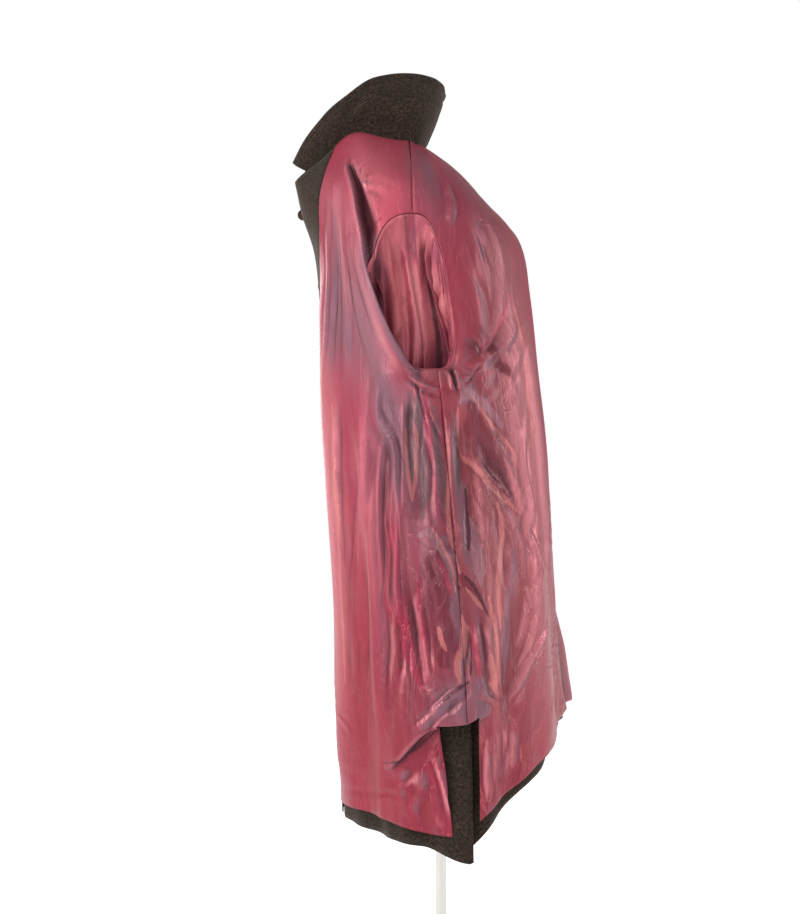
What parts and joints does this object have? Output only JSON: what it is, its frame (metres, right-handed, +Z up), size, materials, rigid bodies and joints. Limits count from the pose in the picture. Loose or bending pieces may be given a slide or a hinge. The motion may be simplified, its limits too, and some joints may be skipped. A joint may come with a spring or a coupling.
{
  "type": "inside-out wool coat on dress form",
  "caption": "Long wool coat worn inside out on a limbless dress form with a pole and round base: lining outwards, collar up, sleeves hanging inside, side and back vents.",
  "frame": {"origin": "centre of the base's underside, on the floor", "axes": "+Z up, the coat's front faces -Y, the wearer's left is +X"},
  "size_m": [0.6292, 0.4653, 1.5334],
  "materials": {
    "lining": "shot satin lining, crimson and slate",
    "wool": "dark brown wool twill with flecks",
    "horn": "dark brown horn-look button",
    "linen": "plain cotton cover",
    "stand_metal": "polished metal"
  },
  "bodies": {
    "root": {"front_lining_left": "lining", "back_lining_left": "lining", "sleeve_lining_left": "lining", "front_facing_left": "wool", "front_wool_left": "wool", "back_wool_left": "wool", "sleeve_wool_left": "wool", "front_lining_right": "lining", "back_lining_right": "lining", "sleeve_lining_right": "lining", "front_facing_right": "wool", "front_wool_right": "wool", "back_wool_right": "wool", "sleeve_wool_right": "wool", "collar": "wool", "button_1": "horn", "button_2": "horn", "button_3": "horn", "button_4": "horn", "button_5": "horn", "dress_form": "linen", "stand_pole": "stand_metal", "stand_base": "stand_metal"}
  },
  "joints": []
}
